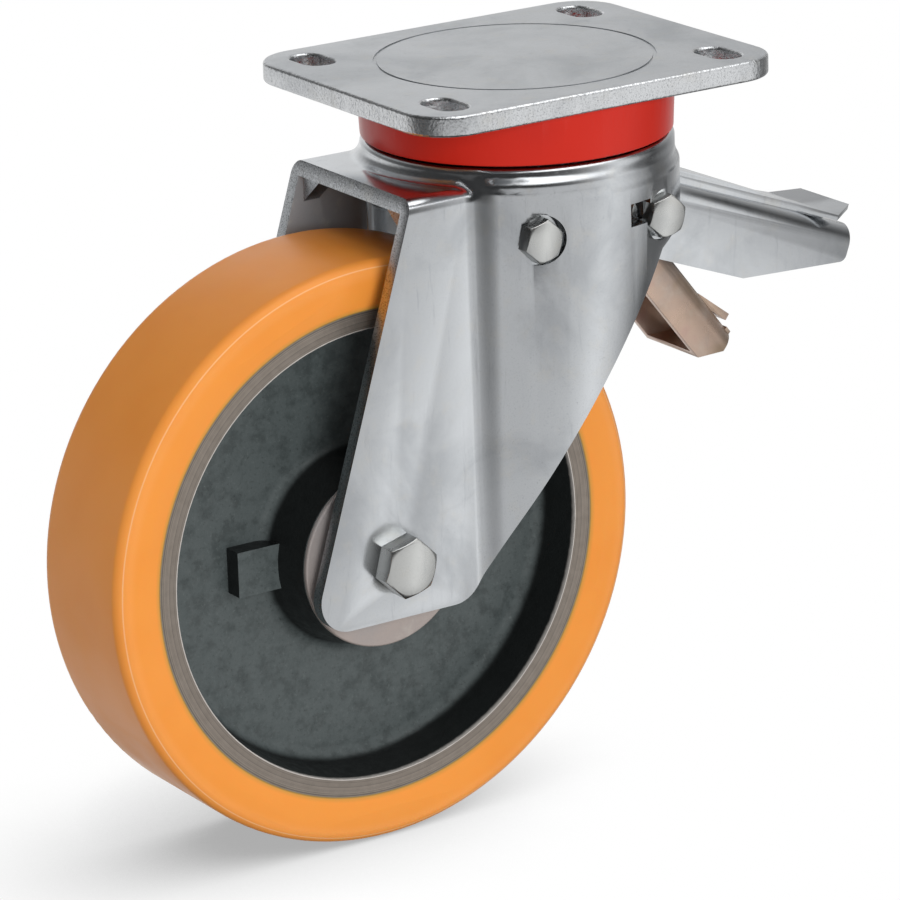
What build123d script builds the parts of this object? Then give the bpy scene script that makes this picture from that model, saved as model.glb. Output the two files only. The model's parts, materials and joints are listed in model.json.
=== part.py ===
"""Swivel castor: bolting plate, two-row swivel head, pressed fork, 200 mm wheel and rear brake with two levers.

Frame: origin at the middle of the plate's top face, +Z up. The brake pedal points along +X, the wheel trails
towards -X and its axle runs along Y. All sizes are in millimetres and all angles in degrees.
"""
from build123d import *
import os
from math import acos, atan2, cos, hypot, radians, sin, tan

# ---------------------------------------------------------------- driving dimensions
# Whole castor
trail = 74                # swivel axis to wheel axle
wheel_drop = 52           # plate's top face to the top of the tread
running_gap = 0.05        # radial clearance of a pin in its hole
free_gap = 0.3            # gap between parts that move past each other
close = 0.01              # two positions nearer than this are the same one

# Top plate
plate_length = 140
plate_width = 114
plate_thickness = 7
plate_corner = 16
plate_rim = 1.2           # rounding of the plate's edges
slot_width = 11
slot_travel = 7.5         # distance between a slot's two end centres
slot_inset_x = 16         # slot centres from the plate's short edges
slot_inset_y = 17         # and from its long edges
press_circle_d = 94       # circle pressed into the top face
press_circle_w = 1.2
press_circle_depth = 0.4

# Swivel pin, forged with the plate
pin_d = 16
pin_root_d = 26
pin_root_h = 2.2
pin_end = 2.5             # pin beyond its nut

# Upper ball row, between plate and crown
upper_pitch_d = 80
upper_ball_d = 9.5
upper_ball_count = 20
race_width = 14           # radial width of both race rings
race_split = 4            # height of the gap between the two rings
ball_play = 0.12

# Dust ring
dust_ring_d = 106
dust_ring_wall = 2.6
dust_ring_flange = 2.2
dust_ring_drop = 17.2     # how far the ring hangs below the plate
dust_ring_taper = 0.8

# Fork, pressed from one sheet
sheet = 5
crown_gap = 18            # plate underside to crown top
crown_d = 105
crown_rise = 6            # crown top above the shelf
crown_edge_r = 2.5
crown_blend_r = 4.2       # hollow between crown and shelf
crown_hole_d = 24
shelf_front = 65          # swivel axis to the shelf's front edge
leg_width = 72            # over the outside faces of the legs
leg_slope = 17.4          # between a leg's front edge and upright
leg_below_axle = 19
leg_corner_r = 11
foot_rear = 27.3          # axle to the foot's rear corner
crease_x = -43            # where each leg turns out into the skirt
crease_r = 6
bend_r = 5                # outside radius of the folds along the shelf
skirt_d = 108
skirt_rear = 44           # swivel axis to the skirt's rear edges
skirt_rear_drop = 19      # shelf top to the lower end of a rear edge
skirt_corner_back = 13    # corner of the lower edge: this far forward of the rear edge
skirt_corner_drop = 26.6  # and this far below the shelf
skirt_tip_drop = 29       # shelf top to the start of the long lower edge
skirt_edge_bow = 2.5      # how far the long lower edge bows out
gusset_width = 11         # webs pressed into the front corners, across the shelf
gusset_depth = 9
gusset_length = 6

# Lower ball row, under the crown
neck_pitch_d = 30
neck_ball_d = 6
neck_ball_count = 12
neck_ring_d = 39
neck_ring_h = 4.4
neck_split = 2.4
neck_play = 1.5           # cup bore round the pin

# Pin nut and washer
pin_washer_d = 30
pin_washer_t = 2
pin_nut_af = 24
pin_nut_h = 10

# Wheel
wheel_d = 200
wheel_width = 50
tyre_shoulder_r = 4.5
tread_t = 16.2            # tread cast on the iron rim
rim_width = 47.8
rim_wall = 6.2            # iron rim at its machined edges
rim_draft = 2.1           # the rim's inside narrows by this to the web
web_t = 13
hub_base_d = 69.4
hub_end_d = 62
hub_length = 50.8
hub_bore_d = 30
casting_r = 5             # fillets of the casting
lug_width = 15.5
lug_reach = 48.4          # wheel axis to the lug's outer end
lug_rise = 7              # lug above the web

# Wheel bearings
bearing_bore = 20
bearing_od = 47
bearing_width = 14
bearing_ring_t = 3.4      # thickness of inner and outer ring
bearing_ball_d = 7.9
bearing_ball_count = 8
bearing_inset = 0.4       # bearing face inside the hub's end face

# Axle
axle_d = 12
axle_af = 18
axle_head_h = 7.5
axle_nut_h = 10
axle_washer_d = 24
axle_washer_t = 2.5
bush_d = 27
shield_d = 61.8
shield_t = 1.5

# Brake pivots
pivot_x = 24.5            # bolts in front of and behind the swivel axis
pivot_z = -48.5
pivot_d = 8
pivot_af = 13
pivot_head_h = 5.3
pivot_nut_h = 6.8
pivot_seat = 46.7         # mid-plane to the seat of head and nut
recess_d = 17
window_from = 8.4         # slot beside the rear bolt
window_height = 7.7
sleeve_d = 12
spacer_d = 15
bolt_end = 2.5            # thread beyond a nut

# Brake pedal, sizes along it and square to it from its pivot
pedal_tilt = 20.6         # down from level
pedal_sheet = 3
pedal_width = 40
pedal_top = 9.5
pedal_drop = 16.7         # walls' lower edge
pedal_start = 12
pedal_end = 105
pedal_belly = 63.5        # where the lower edge starts to rise
pedal_tip_drop = 3
pedal_shoulder_r = 7.3
pedal_ear_r = 11
nose_r = 3
rib_width = 24.6          # raised band along the top face
rib_rise = 2.4
strip_rise = 4            # raised strip in the middle of the band, above the top face
strip_inset = 0.5         # strip's sides inside the band's
slit_from = 47            # slits beside the strip taper away from here
slit_to = 76
slit_width = 5
slit_lip = 1.2            # wall left outside each slit
toe_start = 84            # from here the toe plate widens
toe_bend = 96.7           # and from here it turns up
toe_t = 1.9
toe_rise = 6.7            # toe's end above the top face
toe_end_width = 27.6

# Release lever, sizes along it and square to it from its pivot
lever_tilt = 52
lever_sheet = 2.5
lever_width = 30
lever_top = 6
lever_drop = 9.9
lever_start = 11
lever_end = 79
lever_shoulder_r = 6
lever_ear_r = 10
lever_bulge = 1.4         # how far the end stands out between its two corners
lever_toe_start = 60      # lanced flap, bent up from the top face
lever_toe_length = 16
lever_toe_angle = 15
lever_toe_width = 22

# Brake arm and shoe
arm_swing = 3.6           # from released to pressed on the tyre
arm_width = 38
arm_sheet = 3
arm_ear_r = 10
push_top_u = 33.8         # steep rear edge that the pedal's nose pushes, from the arm's pivot
push_top_v = -9
push_low_u = 38.5
push_low_v = -22
shoe_width = 40
shoe_t = 4
shoe_from = 35            # above level, seen from the wheel axle
shoe_to = 52
shoe_grooves = 4
groove_r = 0.8
rivet_d = 5
rivet_head_d = 8.5
rivet_head_h = 1.8
rivet_spread = 16         # between the two rivets, across the shoe

# Return spring round the front sleeve
spring_wire = 1.8
spring_turns = 5.25
spring_pitch = 2.6
spring_tail = 8

# ---------------------------------------------------------------- sizes that follow
axle_x = -trail
axle_z = -(wheel_drop + wheel_d / 2)
plate_bottom = -plate_thickness
crown_top = plate_bottom - crown_gap
crown_bottom = crown_top - sheet
shelf_top = crown_top - crown_rise
shelf_bottom = shelf_top - sheet
leg_half = leg_width / 2
leg_inside = leg_half - sheet
skirt_r = skirt_d / 2
leg_bottom = axle_z - leg_below_axle
skirt_turn = atan2(-leg_half, crease_x) + acos(skirt_r / hypot(crease_x, leg_half))
pivot_inside = pivot_seat - sheet

upper_ball_z = (plate_bottom + crown_top) / 2
neck_ball_z = crown_bottom - neck_ring_h - neck_split / 2
neck_cone_bottom = crown_bottom - 2 * neck_ring_h - neck_split
pin_nut_top = neck_cone_bottom - pin_washer_t
pin_bottom = pin_nut_top - pin_nut_h - pin_end

hub_half = hub_length / 2
bearing_outside = hub_half - bearing_inset
bearing_inside = bearing_outside - bearing_width
bearing_pitch_r = (bearing_bore + bearing_od) / 4

os.makedirs("parts", exist_ok=True)


# ---------------------------------------------------------------- helpers
def write(part, name):
    """Label one finished piece and write its file."""
    part.part.label = name
    export_step(part.part, f"parts/{name}.step")


def side_plane(x, z, tilt=0):
    """Plane square to Y through (x, z), its first axis pointing rearwards and down by tilt degrees."""
    return Plane(origin=(x, 0, z), x_dir=(cos(radians(tilt)), 0, -sin(radians(tilt))), z_dir=(0, -1, 0))


def across(x, y, z, side=1):
    """Plane square to Y at a distance y from the mid-plane, facing away from it on the given side."""
    return Plane(origin=(x, side * y, z), x_dir=(1, 0, 0), z_dir=(0, side, 0))


def ring(plane, outer_d, inner_d, length):
    """Plain ring or tube standing on a plane."""
    with BuildSketch(plane) as section:
        Circle(outer_d / 2)
        Circle(inner_d / 2, mode=Mode.SUBTRACT)
    extrude(section.sketch, amount=length)


def rod(plane, diameter, length, mode=Mode.ADD):
    """Round bar or round hole standing on a plane."""
    with BuildSketch(plane) as section:
        Circle(diameter / 2)
    extrude(section.sketch, amount=length, mode=mode)


def hexagon(plane, across_flats, height, bore=0):
    """Hexagon with a bevelled free face, standing on a plane. It has to be the first solid of its part."""
    corner_r = across_flats / 2 / cos(radians(30))
    face_r = across_flats * 0.475
    bevel = (corner_r - face_r) * tan(radians(30))
    with BuildSketch(plane) as flats:
        RegularPolygon(across_flats / 2, 6, major_radius=False, rotation=15)
        if bore:
            Circle(bore / 2, mode=Mode.SUBTRACT)
    extrude(flats.sketch, amount=height)
    with BuildSketch(Plane(plane.origin, x_dir=plane.x_dir, z_dir=-plane.y_dir)) as bevelled:
        with BuildLine():
            Polyline((0, 0), (corner_r, 0), (corner_r, height - bevel), (face_r, height), (0, height), close=True)
        make_face()
    revolve(bevelled.sketch, axis=Axis(plane.origin, plane.z_dir), mode=Mode.INTERSECT)


def race(bottom, top, outer_d, inner_d, pitch_d, ball_d, ball_z):
    """Race ring about the swivel axis, with a groove for its balls."""
    ring(Plane.XY.offset(bottom), outer_d, inner_d, top - bottom)
    with Locations((0, 0, ball_z)):
        Torus(pitch_d / 2, ball_d / 2 + ball_play, mode=Mode.SUBTRACT)


# ---------------------------------------------------------------- top plate and swivel head
with BuildPart() as top_plate:
    with BuildSketch(Plane.XY.offset(plate_bottom)):
        RectangleRounded(plate_length, plate_width, plate_corner)
        with GridLocations(plate_length - 2 * slot_inset_x, plate_width - 2 * slot_inset_y, 2, 2):
            SlotCenterToCenter(slot_travel, slot_width, rotation=90, mode=Mode.SUBTRACT)
    extrude(amount=plate_thickness)
    fillet(top_plate.edges().group_by(Axis.Z)[-1], plate_rim)
    fillet(top_plate.edges().group_by(Axis.Z)[0], plate_rim)
    with BuildSketch():
        Circle(press_circle_d / 2)
        Circle(press_circle_d / 2 - press_circle_w, mode=Mode.SUBTRACT)
    extrude(amount=-press_circle_depth, mode=Mode.SUBTRACT)
    rod(Plane.XY.offset(pin_bottom), pin_d, plate_bottom - pin_bottom)
    chamfer(top_plate.edges().group_by(Axis.Z)[0], pin_d / 12)
    rod(Plane.XY.offset(plate_bottom - pin_root_h), pin_root_d, pin_root_h)
write(top_plate, "top_plate")

upper_outer_d = upper_pitch_d + race_width
upper_inner_d = upper_pitch_d - race_width

with BuildPart() as plate_race:
    race(upper_ball_z + race_split / 2, plate_bottom, upper_outer_d, upper_inner_d, upper_pitch_d, upper_ball_d,
         upper_ball_z)
write(plate_race, "plate_race")

with BuildPart() as crown_race:
    race(crown_top, upper_ball_z - race_split / 2, upper_outer_d, upper_inner_d, upper_pitch_d, upper_ball_d,
         upper_ball_z)
write(crown_race, "crown_race")

with BuildPart() as upper_balls:
    with Locations((0, 0, upper_ball_z)):
        with PolarLocations(upper_pitch_d / 2, upper_ball_count):
            Sphere(upper_ball_d / 2)
write(upper_balls, "upper_balls")

ring_top = dust_ring_d / 2
ring_low = ring_top - dust_ring_taper
ring_seat = upper_outer_d / 2 + running_gap
ring_bottom = plate_bottom - dust_ring_drop
with BuildPart() as dust_ring:
    with BuildSketch(Plane.XZ):
        with BuildLine():
            Polyline((ring_seat, plate_bottom), (ring_top, plate_bottom), (ring_low, ring_bottom),
                     (ring_low - dust_ring_wall, ring_bottom),
                     (ring_top - dust_ring_wall, plate_bottom - dust_ring_flange),
                     (ring_seat, plate_bottom - dust_ring_flange), close=True)
        make_face()
    revolve(axis=Axis.Z)
    fillet(dust_ring.edges().group_by(Axis.Z)[0], dust_ring_wall / 4)
write(dust_ring, "dust_ring")

with BuildPart() as neck_cup:
    race(crown_bottom - neck_ring_h, crown_bottom, neck_ring_d, pin_d + 2 * neck_play, neck_pitch_d, neck_ball_d,
         neck_ball_z)
write(neck_cup, "neck_cup")

with BuildPart() as neck_balls:
    with Locations((0, 0, neck_ball_z)):
        with PolarLocations(neck_pitch_d / 2, neck_ball_count):
            Sphere(neck_ball_d / 2)
write(neck_balls, "neck_balls")

with BuildPart() as neck_cone:
    race(neck_cone_bottom, neck_cone_bottom + neck_ring_h, neck_ring_d, pin_d + 2 * running_gap, neck_pitch_d,
         neck_ball_d, neck_ball_z)
write(neck_cone, "neck_cone")

with BuildPart() as kingpin_washer:
    ring(Plane.XY.offset(pin_nut_top), pin_washer_d, pin_d + 2 * running_gap, pin_washer_t)
write(kingpin_washer, "kingpin_washer")

with BuildPart() as kingpin_nut:
    hexagon(Plane(origin=(0, 0, pin_nut_top), x_dir=(1, 0, 0), z_dir=(0, 0, -1)), pin_nut_af, pin_nut_h,
            pin_d + 2 * running_gap)
write(kingpin_nut, "kingpin_nut")


# ---------------------------------------------------------------- fork
def fork_plan(inset):
    """Plan of the fork, inset from its outside: two straight legs that turn out into the round skirt."""
    half = leg_half - inset
    radius = skirt_r - inset
    reach = -2 * trail
    crease = (radius + half * sin(skirt_turn)) / cos(skirt_turn)
    tangent = (radius * cos(skirt_turn), radius * sin(skirt_turn))
    with BuildLine() as outline:
        Polyline((reach, 0), (reach, -half), (crease, -half), tangent)
        ThreePointArc(tangent, (radius * cos(skirt_turn / 2), radius * sin(skirt_turn / 2)), (radius, 0))
        mirror(about=Plane.XZ)
    make_face(outline.edges())


foot_front = (-shelf_front - (shelf_top - leg_bottom) * tan(radians(leg_slope)), leg_bottom)
foot_back = (axle_x + foot_rear, leg_bottom)
skirt_tip = (pivot_x, shelf_top - skirt_tip_drop)
skirt_corner = (skirt_rear - skirt_corner_back, shelf_top - skirt_corner_drop)
skirt_end = (skirt_rear, shelf_top - skirt_rear_drop)

with BuildPart() as fork:
    # Outside of the pressing: legs, facets and skirt, folded over at the top.
    with BuildSketch(Plane.XY.offset(leg_bottom)) as outside_plan:
        fork_plan(0)
        outer_crease = outside_plan.vertices().filter_by_position(Axis.X, crease_x - crease_r, crease_x + crease_r)
        fillet(outer_crease, crease_r)
    extrude(amount=shelf_top - leg_bottom)
    fillet(fork.faces().sort_by(Axis.Z)[-1].edges(), bend_r)

    # Side view: sloped front edge, rounded foot, bowed lower edge and the skirt's rear end.
    with BuildSketch(Plane.XZ) as side_view:
        with BuildLine():
            Polyline((skirt_rear, shelf_top), (-shelf_front, shelf_top), foot_front, foot_back)
            SagittaArc(foot_back, skirt_tip, skirt_edge_bow)
            Polyline(skirt_tip, skirt_corner, skirt_end, (skirt_rear, shelf_top))
        make_face()
        fillet(side_view.vertices().group_by(Axis.Y)[0], leg_corner_r)
    extrude(amount=skirt_r + sheet, both=True, mode=Mode.INTERSECT)

    # Crown boss on the shelf.
    rod(Plane.XY.offset(shelf_bottom), crown_d, crown_top - shelf_bottom)
    fillet(fork.edges().group_by(Axis.Z)[-1], crown_edge_r)
    crown_foot = (fork.edges().filter_by(GeomType.LINE, reverse=True)
                  .filter_by(lambda e: abs(hypot((e @ 0.5).X, (e @ 0.5).Y) - crown_d / 2) < close)
                  .filter_by(lambda e: shelf_bottom + close < (e @ 0.5).Z < shelf_top + close))
    fillet(crown_foot, crown_blend_r)

    # Hollow of one sheet thickness under legs, shelf and crown.
    with BuildSketch(Plane.XY.offset(leg_bottom)) as inside_plan:
        fork_plan(sheet)
        inner_crease = inside_plan.vertices().filter_by_position(Axis.X, crease_x, crease_x + sheet)
        fillet(inner_crease, crease_r + sheet)
    extrude(amount=shelf_bottom - leg_bottom, mode=Mode.SUBTRACT)
    rod(Plane.XY.offset(shelf_bottom), crown_d - 2 * sheet, crown_bottom - shelf_bottom, Mode.SUBTRACT)
    rod(Plane.XY.offset(crown_bottom), crown_hole_d, sheet, Mode.SUBTRACT)

    # Webs pressed into the two front corners.
    for side in (-1, 1):
        with BuildSketch(Plane.YZ.offset(-shelf_front)):
            with BuildLine():
                Polyline((side * leg_inside, shelf_bottom), (side * (leg_inside - gusset_width), shelf_bottom),
                         (side * leg_inside, shelf_bottom - gusset_depth), close=True)
            make_face()
        extrude(amount=gusset_length)

    # Flats pressed inwards for the pivot bolts, with a round recess outside each.
    with BuildSketch(Plane.XY.offset(pivot_z - recess_d / 2)):
        with Locations((pivot_x, 0), (-pivot_x, 0)):
            Rectangle(recess_d, 2 * pivot_seat)
            Rectangle(recess_d, 2 * pivot_inside, mode=Mode.SUBTRACT)
        Circle(skirt_r - sheet / 2, mode=Mode.INTERSECT)
    extrude(amount=recess_d)
    for side in (-1, 1):
        for x in (-pivot_x, pivot_x):
            rod(across(x, pivot_seat, pivot_z, side), recess_d, skirt_r, Mode.SUBTRACT)
            rod(across(x, 0, pivot_z, side), spacer_d + 2 * free_gap, pivot_inside, Mode.SUBTRACT)

    # Holes for pivots and axle, and the window beside the rear bolt.
    with BuildSketch(Plane.XZ):
        with Locations((pivot_x, pivot_z), (-pivot_x, pivot_z)):
            Circle(pivot_d / 2 + running_gap)
        with Locations((axle_x, axle_z)):
            Circle(axle_d / 2 + running_gap)
        with Locations(((window_from + pivot_x - pivot_af / 2) / 2, pivot_z + pivot_nut_h / 2)):
            Rectangle(pivot_x - pivot_af / 2 - window_from, window_height)
    extrude(amount=skirt_r + sheet, both=True, mode=Mode.SUBTRACT)
write(fork, "fork")


# ---------------------------------------------------------------- wheel
def turned(points):
    """Solid turned about the wheel axle from (radius, distance from the mid-plane) points."""
    with BuildSketch(Plane(origin=(axle_x, 0, axle_z), x_dir=(1, 0, 0), z_dir=(0, 0, 1))) as profile:
        with BuildLine():
            Polyline(*points, close=True)
        make_face()
    revolve(profile.sketch, axis=Axis((axle_x, 0, axle_z), (0, 1, 0)))


rim_r = wheel_d / 2 - tread_t
rim_half = rim_width / 2
rim_bore_r = rim_r - rim_wall
web_half = web_t / 2
hub_bore_r = hub_bore_d / 2
seat_r = bearing_od / 2 + running_gap

with BuildPart() as wheel_centre:
    half_rim = [(hub_bore_r, bearing_inside), (seat_r, bearing_inside), (seat_r, hub_half), (hub_end_d / 2, hub_half),
                (hub_base_d / 2, web_half), (rim_bore_r - rim_draft, web_half), (rim_bore_r, rim_half),
                (rim_r, rim_half)]
    turned(half_rim + [(r, -y) for r, y in reversed(half_rim)])
    lug_height = web_half + lug_rise
    with BuildSketch(Plane.XZ):
        with Locations((axle_x - lug_reach / 2, axle_z)):
            Rectangle(lug_reach, lug_width)
        with Locations((axle_x, axle_z)):
            Circle(hub_end_d / 2, mode=Mode.SUBTRACT)
    extrude(amount=lug_height, both=True)
    hollows = (wheel_centre.edges().filter_by(GeomType.CIRCLE)
               .filter_by(lambda e: abs(abs(e.center().Y) - web_half) < close and e.radius > hub_end_d / 2))
    fillet(hollows, casting_r)
write(wheel_centre, "wheel_centre")

with BuildPart() as tyre:
    tyre_half = wheel_width / 2
    tyre_r = wheel_d / 2
    turned([(rim_r, -rim_half), (rim_r, rim_half), (rim_r + casting_r, tyre_half), (tyre_r, tyre_half),
            (tyre_r, -tyre_half), (rim_r + casting_r, -tyre_half)])
    shoulders = (tyre.edges().filter_by(GeomType.CIRCLE).filter_by(lambda e: abs(e.radius - tyre_r) < close))
    fillet(shoulders, tyre_shoulder_r)
write(tyre, "tyre")

for side, name in ((-1, "near"), (1, "far")):
    start = across(axle_x, bearing_inside, axle_z, side)
    with BuildPart() as outer_ring:
        ring(start, bearing_od, bearing_od - 2 * bearing_ring_t, bearing_width)
        with Locations(Location((axle_x, side * (bearing_inside + bearing_width / 2), axle_z), (90, 0, 0))):
            Torus(bearing_pitch_r, bearing_ball_d / 2 + ball_play, mode=Mode.SUBTRACT)
    write(outer_ring, f"bearing_outer_{name}")

    with BuildPart() as inner_ring:
        ring(start, bearing_bore + 2 * bearing_ring_t, bearing_bore + 2 * running_gap, bearing_width)
        with Locations(Location((axle_x, side * (bearing_inside + bearing_width / 2), axle_z), (90, 0, 0))):
            Torus(bearing_pitch_r, bearing_ball_d / 2 + ball_play, mode=Mode.SUBTRACT)
    write(inner_ring, f"bearing_inner_{name}")

    with BuildPart() as bearing_balls:
        with Locations(Location((axle_x, side * (bearing_inside + bearing_width / 2), axle_z), (90, 0, 0))):
            with PolarLocations(bearing_pitch_r, bearing_ball_count):
                Sphere(bearing_ball_d / 2)
    write(bearing_balls, f"bearing_balls_{name}")

    # Bush between bearing and leg, with the pressed shield round it just clear of the hub's end.
    shield_start = hub_half + free_gap
    with BuildPart() as bush:
        ring(across(axle_x, bearing_outside, axle_z, side), bush_d, axle_d + 2 * running_gap,
             leg_inside - bearing_outside)
    write(bush, f"axle_bush_{name}")

    with BuildPart() as shield:
        ring(across(axle_x, shield_start, axle_z, side), shield_d, bush_d + 2 * running_gap, shield_t)
        rims = shield.edges().filter_by(GeomType.CIRCLE).filter_by(lambda e: e.radius > bush_d)
        fillet(rims.sort_by(Axis.Y)[0 if side < 0 else -1], shield_t / 2)
    write(shield, f"hub_shield_{name}")

with BuildPart() as bearing_spacer:
    ring(across(axle_x, -bearing_inside, axle_z), bush_d, bearing_bore + 2 * running_gap, 2 * bearing_inside)
write(bearing_spacer, "bearing_spacer")

with BuildPart() as axle_sleeve:
    ring(across(axle_x, -bearing_outside, axle_z), bearing_bore, axle_d + 2 * running_gap, 2 * bearing_outside)
write(axle_sleeve, "axle_sleeve")

# ---------------------------------------------------------------- axle and pivot bolts
axle_nut_seat = leg_half + axle_washer_t
with BuildPart() as axle_bolt:
    hexagon(across(axle_x, leg_half, axle_z, -1), axle_af, axle_head_h)
    rod(across(axle_x, -leg_half, axle_z), axle_d, leg_half + axle_nut_seat + axle_nut_h + bolt_end)
    chamfer(axle_bolt.edges().group_by(Axis.Y)[-1], axle_d / 12)
write(axle_bolt, "axle_bolt")

with BuildPart() as axle_washer:
    ring(across(axle_x, leg_half, axle_z), axle_washer_d, axle_d + 2 * running_gap, axle_washer_t)
write(axle_washer, "axle_washer")

with BuildPart() as axle_nut:
    hexagon(across(axle_x, axle_nut_seat, axle_z), axle_af, axle_nut_h, axle_d + 2 * running_gap)
write(axle_nut, "axle_nut")

pedal_half = pedal_width / 2
arm_half = arm_width / 2
for x, name, inner_half in ((-pivot_x, "front", arm_half), (pivot_x, "rear", pedal_half)):
    with BuildPart() as pivot_bolt:
        hexagon(across(x, pivot_seat, pivot_z, -1), pivot_af, pivot_head_h)
        rod(across(x, -pivot_seat, pivot_z), pivot_d, 2 * pivot_seat + pivot_nut_h + bolt_end)
        chamfer(pivot_bolt.edges().group_by(Axis.Y)[-1], pivot_d / 12)
    write(pivot_bolt, f"{name}_pivot_bolt")

    with BuildPart() as pivot_nut:
        hexagon(across(x, pivot_seat, pivot_z), pivot_af, pivot_nut_h, pivot_d + 2 * running_gap)
    write(pivot_nut, f"{name}_pivot_nut")

    with BuildPart() as sleeve:
        ring(across(x, -pivot_inside, pivot_z), sleeve_d, pivot_d + 2 * running_gap, 2 * pivot_inside)
    write(sleeve, f"{name}_pivot_sleeve")

    # A distance tube on each side keeps the lever in the middle of the fork.
    with BuildPart() as spacers:
        for side in (-1, 1):
            ring(across(x, inner_half + free_gap, pivot_z, side), spacer_d, sleeve_d + 2 * running_gap,
                 pivot_inside - inner_half - free_gap)
    write(spacers, f"{name}_pivot_spacers")


# ---------------------------------------------------------------- brake pedal
def channel(pivot, start, end, width, top, bottom, shoulder_r, wall):
    """Straight folded channel along a tilted side plane, open below, with rounded shoulders."""
    section_plane = Plane(pivot.origin + pivot.x_dir * start, x_dir=(0, 1, 0), z_dir=pivot.x_dir)
    with BuildSketch(section_plane) as outside:
        with Locations((0, (top - bottom) / 2)):
            Rectangle(width, top + bottom)
        fillet(outside.vertices().group_by(Axis.Y)[-1], shoulder_r)
    extrude(outside.sketch, amount=end - start)
    with BuildSketch(section_plane) as inside:
        with Locations((0, (top - bottom) / 2 - wall)):
            Rectangle(width - 2 * wall, top + bottom)
        fillet(inside.vertices().group_by(Axis.Y)[-1], shoulder_r - wall)
    extrude(inside.sketch, amount=end - start, mode=Mode.SUBTRACT)


def wall_outline(pivot, half_width, wall, ear_r, points):
    """Pair of side walls: an ear round the pivot and a plate through the points, one on each side."""
    with BuildSketch(pivot) as walls:
        Circle(ear_r)
        with BuildLine() as edge:
            Polyline(*points, close=True)
        make_face(edge.edges())
    for side in (-1, 1):
        extrude(walls.sketch.moved(Location((0, side * half_width, 0))), amount=-side * wall)


def pivot_hole(pivot, half_width):
    """Running hole for the pivot sleeve, through both walls."""
    with BuildSketch(pivot) as hole:
        Circle(sleeve_d / 2 + running_gap)
    extrude(hole.sketch, amount=half_width, both=True, mode=Mode.SUBTRACT)


def tapered(pivot, start, end, sections, mode):
    """Hump along a tilted plane between two trapezoids, each (half width below, half width above, low, high)."""
    faces = []
    for along, (low_half, top_half, low, high) in zip((start, end), sections):
        plane = Plane(pivot.origin + pivot.x_dir * along, x_dir=(0, 1, 0), z_dir=pivot.x_dir)
        with BuildSketch(plane) as trapezoid:
            with BuildLine():
                Polyline((-low_half, low), (low_half, low), (top_half, high), (-top_half, high), close=True)
            make_face()
        faces.append(trapezoid.sketch.faces()[0])
    loft(faces, mode=mode)


push_top = (push_top_u, push_top_v)
push_low = (push_low_u, push_low_v)
arm_plane = side_plane(-pivot_x, pivot_z, -arm_swing)
pedal_plane = side_plane(pivot_x, pivot_z, pedal_tilt)
lever_plane = side_plane(pivot_x, pivot_z, lever_tilt)

# The nose touches the middle of the arm's rear edge while the brake is off.
push_middle = arm_plane.from_local_coords(Vector(*push_top) * 0.5 + Vector(*push_low) * 0.5)
push_edge = arm_plane.from_local_coords(Vector(*push_low)) - arm_plane.from_local_coords(Vector(*push_top))
push_out = push_edge.normalized().cross(Vector(0, 1, 0))
nose = pedal_plane.to_local_coords(push_middle + push_out * (nose_r + free_gap))

pedal_plan = Plane(pedal_plane.origin, x_dir=pedal_plane.x_dir, z_dir=pedal_plane.y_dir)
under_top = pedal_top - pedal_sheet
band_top = pedal_top + rib_rise
strip_top = pedal_top + strip_rise
toe_top = pedal_top + toe_rise
with BuildPart() as toe_plate:
    with BuildSketch(pedal_plane):
        with BuildLine():
            Polyline((toe_start, band_top), (toe_bend, band_top), (pedal_end, toe_top), (pedal_end, toe_top - toe_t),
                     (toe_bend, band_top - toe_t), (toe_start, band_top - toe_t), close=True)
        make_face()
    extrude(amount=pedal_width / 2, both=True)
    with BuildSketch(pedal_plan):
        with BuildLine():
            Polyline((toe_start, rib_width / 2), (toe_bend, pedal_width / 2), (pedal_end, toe_end_width / 2),
                     (pedal_end, -toe_end_width / 2), (toe_bend, -pedal_width / 2), (toe_start, -rib_width / 2),
                     close=True)
        make_face()
    extrude(amount=toe_top, mode=Mode.INTERSECT)

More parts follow.
